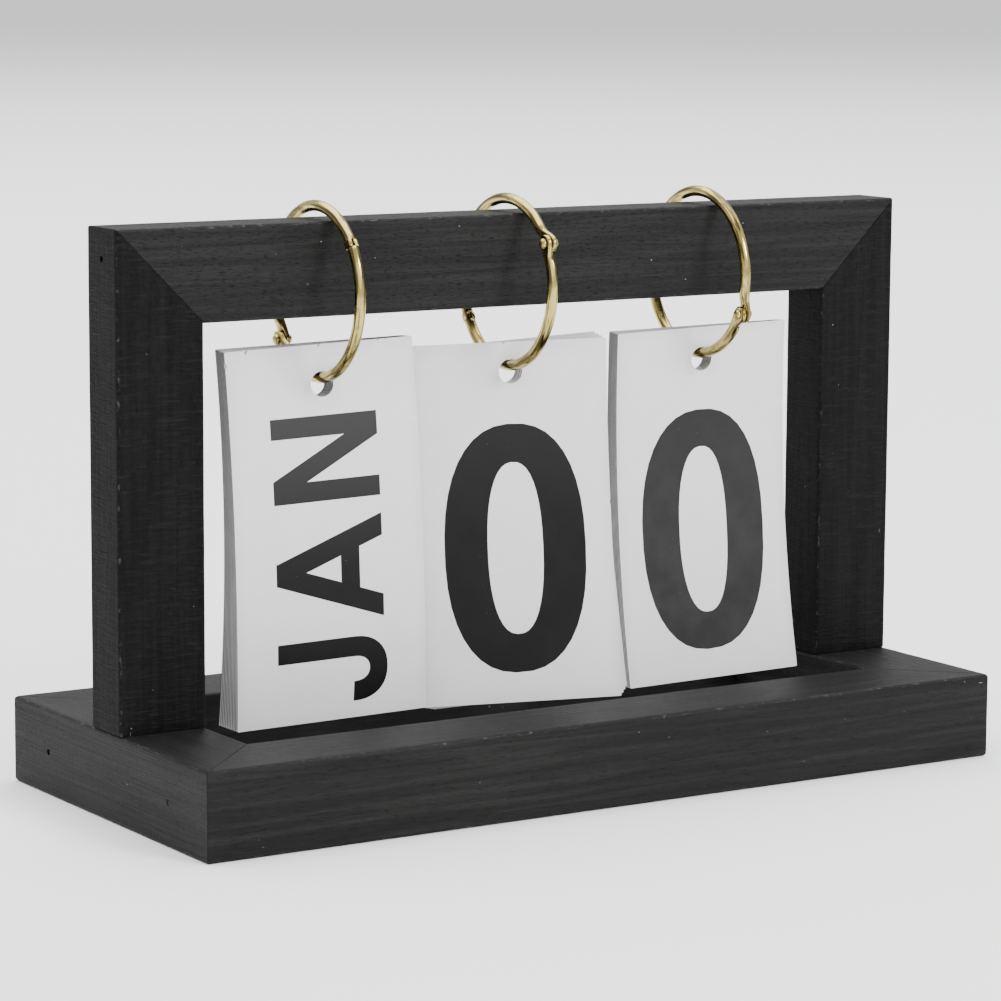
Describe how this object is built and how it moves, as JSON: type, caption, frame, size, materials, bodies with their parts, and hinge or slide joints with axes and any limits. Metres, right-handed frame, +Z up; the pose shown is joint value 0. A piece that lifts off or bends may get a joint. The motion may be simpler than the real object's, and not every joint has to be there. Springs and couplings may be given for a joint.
{
  "type": "flip desk calendar",
  "caption": "Wooden frame stand with hinged brass rings over its top rail, each holding a stack of hanging flip cards that show the month and the two digits of the date.",
  "frame": {"origin": "middle of the stand's underside", "axes": "+Z up, +X to the right seen from the front along the longest side, the printed card faces look to -Y"},
  "size_m": [0.2, 0.09, 0.1285],
  "materials": {
    "painted_wood": "satin black paint over the grain",
    "steel_fasteners": "plain",
    "brass_rings": "polished",
    "card": "coated white card with a slight sheen"
  },
  "bodies": {
    "stand": {"base_front_rail": "painted_wood", "base_back_rail": "painted_wood", "base_left_rail": "painted_wood", "base_right_rail": "painted_wood", "left_post": "painted_wood", "right_post": "painted_wood", "top_rail": "painted_wood", "base_corner_brads": "steel_fasteners", "frame_corner_brads": "steel_fasteners", "post_screws": "steel_fasteners"},
    "month_ring": {"month_ring_carrier": "brass_rings", "month_ring_rivet": "brass_rings"},
    "month_gate": {"month_ring_gate": "brass_rings"},
    "month_card_01": {"month_card_01": "card"},
    "month_card_02": {"month_card_02": "card"},
    "month_card_03": {"month_card_03": "card"},
    "month_card_04": {"month_card_04": "card"},
    "month_card_05": {"month_card_05": "card"},
    "month_card_06": {"month_card_06": "card"},
    "month_card_07": {"month_card_07": "card"},
    "month_card_08": {"month_card_08": "card"},
    "month_card_09": {"month_card_09": "card"},
    "month_card_10": {"month_card_10": "card"},
    "month_card_11": {"month_card_11": "card"},
    "month_card_12": {"month_card_12": "card"},
    "tens_ring": {"tens_ring_carrier": "brass_rings", "tens_ring_rivet": "brass_rings"},
    "tens_gate": {"tens_ring_gate": "brass_rings"},
    "tens_card_01": {"tens_card_01": "card"},
    "tens_card_02": {"tens_card_02": "card"},
    "tens_card_03": {"tens_card_03": "card"},
    "tens_card_04": {"tens_card_04": "card"},
    "units_ring": {"units_ring_carrier": "brass_rings", "units_ring_rivet": "brass_rings"},
    "units_gate": {"units_ring_gate": "brass_rings"},
    "units_card_01": {"units_card_01": "card"},
    "units_card_02": {"units_card_02": "card"},
    "units_card_03": {"units_card_03": "card"},
    "units_card_04": {"units_card_04": "card"},
    "units_card_05": {"units_card_05": "card"},
    "units_card_06": {"units_card_06": "card"},
    "units_card_07": {"units_card_07": "card"},
    "units_card_08": {"units_card_08": "card"},
    "units_card_09": {"units_card_09": "card"},
    "units_card_10": {"units_card_10": "card"}
  },
  "joints": [
    {"name": "month_ring_slide", "type": "slide", "parent": "stand", "child": "month_ring", "axis": [1, 0, 0], "range_m": [-0.0065, 0.0003]},
    {"name": "month_gate_hinge", "type": "hinge", "parent": "month_ring", "child": "month_gate", "pos_m": [-0.0492, 0.01533, 0.09745], "axis": [1, 0, 0], "range_deg": [-75, 0]},
    {"name": "month_stack_swing", "type": "hinge", "parent": "month_ring", "child": "month_card_12", "pos_m": [-0.0492, 0, 0.109], "axis": [-1, 0, 0], "range_deg": [-35, 60]},
    {"name": "month_fan", "type": "hinge", "parent": "month_card_12", "child": "month_card_01", "pos_m": [-0.0492, 0, 0.109], "axis": [-1, 0, 0], "range_deg": [0, 65]},
    {"name": "month_leaf_02", "type": "hinge", "parent": "month_card_12", "child": "month_card_02", "pos_m": [-0.0492, 0, 0.109], "axis": [-1, 0, 0], "range_deg": [0, 59.1]},
    {"name": "month_leaf_03", "type": "hinge", "parent": "month_card_12", "child": "month_card_03", "pos_m": [-0.0492, 0, 0.109], "axis": [-1, 0, 0], "range_deg": [0, 53.19]},
    {"name": "month_leaf_04", "type": "hinge", "parent": "month_card_12", "child": "month_card_04", "pos_m": [-0.0492, 0, 0.109], "axis": [-1, 0, 0], "range_deg": [0, 47.28]},
    {"name": "month_leaf_05", "type": "hinge", "parent": "month_card_12", "child": "month_card_05", "pos_m": [-0.0492, 0, 0.109], "axis": [-1, 0, 0], "range_deg": [0, 41.37]},
    {"name": "month_leaf_06", "type": "hinge", "parent": "month_card_12", "child": "month_card_06", "pos_m": [-0.0492, 0, 0.109], "axis": [-1, 0, 0], "range_deg": [0, 35.47]},
    {"name": "month_leaf_07", "type": "hinge", "parent": "month_card_12", "child": "month_card_07", "pos_m": [-0.0492, 0, 0.109], "axis": [-1, 0, 0], "range_deg": [0, 29.55]},
    {"name": "month_leaf_08", "type": "hinge", "parent": "month_card_12", "child": "month_card_08", "pos_m": [-0.0492, 0, 0.109], "axis": [-1, 0, 0], "range_deg": [0, 23.65]},
    {"name": "month_leaf_09", "type": "hinge", "parent": "month_card_12", "child": "month_card_09", "pos_m": [-0.0492, 0, 0.109], "axis": [-1, 0, 0], "range_deg": [0, 17.74]},
    {"name": "month_leaf_10", "type": "hinge", "parent": "month_card_12", "child": "month_card_10", "pos_m": [-0.0492, 0, 0.109], "axis": [-1, 0, 0], "range_deg": [0, 11.83]},
    {"name": "month_leaf_11", "type": "hinge", "parent": "month_card_12", "child": "month_card_11", "pos_m": [-0.0492, 0, 0.109], "axis": [-1, 0, 0], "range_deg": [0, 5.92]},
    {"name": "tens_ring_slide", "type": "slide", "parent": "stand", "child": "tens_ring", "axis": [1, 0, 0], "range_m": [-0.0003, 0.0022]},
    {"name": "tens_gate_hinge", "type": "hinge", "parent": "tens_ring", "child": "tens_gate", "pos_m": [-0.0014, -0.01663, 0.1186], "axis": [-1, 0, 0], "range_deg": [-75, 0]},
    {"name": "tens_stack_swing", "type": "hinge", "parent": "tens_ring", "child": "tens_card_04", "pos_m": [-0.0014, 0, 0.109], "axis": [-1, 0, 0], "range_deg": [-35, 60]},
    {"name": "tens_fan", "type": "hinge", "parent": "tens_card_04", "child": "tens_card_01", "pos_m": [-0.0014, 0, 0.109], "axis": [-1, 0, 0], "range_deg": [0, 65]},
    {"name": "tens_leaf_02", "type": "hinge", "parent": "tens_card_04", "child": "tens_card_02", "pos_m": [-0.0014, 0, 0.109], "axis": [-1, 0, 0], "range_deg": [0, 43.34]},
    {"name": "tens_leaf_03", "type": "hinge", "parent": "tens_card_04", "child": "tens_card_03", "pos_m": [-0.0014, 0, 0.109], "axis": [-1, 0, 0], "range_deg": [0, 21.68]},
    {"name": "units_ring_slide", "type": "slide", "parent": "stand", "child": "units_ring", "axis": [1, 0, 0], "range_m": [-0.0022, 0.005]},
    {"name": "units_gate_hinge", "type": "hinge", "parent": "units_ring", "child": "units_gate", "pos_m": [0.0497, -0.0174, 0.10089], "axis": [-1, 0, 0], "range_deg": [-75, 0]},
    {"name": "units_stack_swing", "type": "hinge", "parent": "units_ring", "child": "units_card_10", "pos_m": [0.0497, 0, 0.109], "axis": [-1, 0, 0], "range_deg": [-35, 60]},
    {"name": "units_fan", "type": "hinge", "parent": "units_card_10", "child": "units_card_01", "pos_m": [0.0497, 0, 0.109], "axis": [-1, 0, 0], "range_deg": [0, 65]},
    {"name": "units_leaf_02", "type": "hinge", "parent": "units_card_10", "child": "units_card_02", "pos_m": [0.0497, 0, 0.109], "axis": [-1, 0, 0], "range_deg": [0, 57.79]},
    {"name": "units_leaf_03", "type": "hinge", "parent": "units_card_10", "child": "units_card_03", "pos_m": [0.0497, 0, 0.109], "axis": [-1, 0, 0], "range_deg": [0, 50.57]},
    {"name": "units_leaf_04", "type": "hinge", "parent": "units_card_10", "child": "units_card_04", "pos_m": [0.0497, 0, 0.109], "axis": [-1, 0, 0], "range_deg": [0, 43.34]},
    {"name": "units_leaf_05", "type": "hinge", "parent": "units_card_10", "child": "units_card_05", "pos_m": [0.0497, 0, 0.109], "axis": [-1, 0, 0], "range_deg": [0, 36.12]},
    {"name": "units_leaf_06", "type": "hinge", "parent": "units_card_10", "child": "units_card_06", "pos_m": [0.0497, 0, 0.109], "axis": [-1, 0, 0], "range_deg": [0, 28.9]},
    {"name": "units_leaf_07", "type": "hinge", "parent": "units_card_10", "child": "units_card_07", "pos_m": [0.0497, 0, 0.109], "axis": [-1, 0, 0], "range_deg": [0, 21.68]},
    {"name": "units_leaf_08", "type": "hinge", "parent": "units_card_10", "child": "units_card_08", "pos_m": [0.0497, 0, 0.109], "axis": [-1, 0, 0], "range_deg": [0, 14.45]},
    {"name": "units_leaf_09", "type": "hinge", "parent": "units_card_10", "child": "units_card_09", "pos_m": [0.0497, 0, 0.109], "axis": [-1, 0, 0], "range_deg": [0, 7.23]}
  ],
  "couplings": [
    {"joint": "month_leaf_02", "follows": "month_fan", "ratio": 0.90909},
    {"joint": "month_leaf_03", "follows": "month_fan", "ratio": 0.81818},
    {"joint": "month_leaf_04", "follows": "month_fan", "ratio": 0.72727},
    {"joint": "month_leaf_05", "follows": "month_fan", "ratio": 0.63636},
    {"joint": "month_leaf_06", "follows": "month_fan", "ratio": 0.54546},
    {"joint": "month_leaf_07", "follows": "month_fan", "ratio": 0.45454},
    {"joint": "month_leaf_08", "follows": "month_fan", "ratio": 0.36364},
    {"joint": "month_leaf_09", "follows": "month_fan", "ratio": 0.27273},
    {"joint": "month_leaf_10", "follows": "month_fan", "ratio": 0.18182},
    {"joint": "month_leaf_11", "follows": "month_fan", "ratio": 0.090909},
    {"joint": "tens_leaf_02", "follows": "tens_fan", "ratio": 0.66667},
    {"joint": "tens_leaf_03", "follows": "tens_fan", "ratio": 0.33333},
    {"joint": "units_leaf_02", "follows": "units_fan", "ratio": 0.88889},
    {"joint": "units_leaf_03", "follows": "units_fan", "ratio": 0.77778},
    {"joint": "units_leaf_04", "follows": "units_fan", "ratio": 0.66667},
    {"joint": "units_leaf_05", "follows": "units_fan", "ratio": 0.55556},
    {"joint": "units_leaf_06", "follows": "units_fan", "ratio": 0.44444},
    {"joint": "units_leaf_07", "follows": "units_fan", "ratio": 0.33333},
    {"joint": "units_leaf_08", "follows": "units_fan", "ratio": 0.22222},
    {"joint": "units_leaf_09", "follows": "units_fan", "ratio": 0.11111}
  ]
}
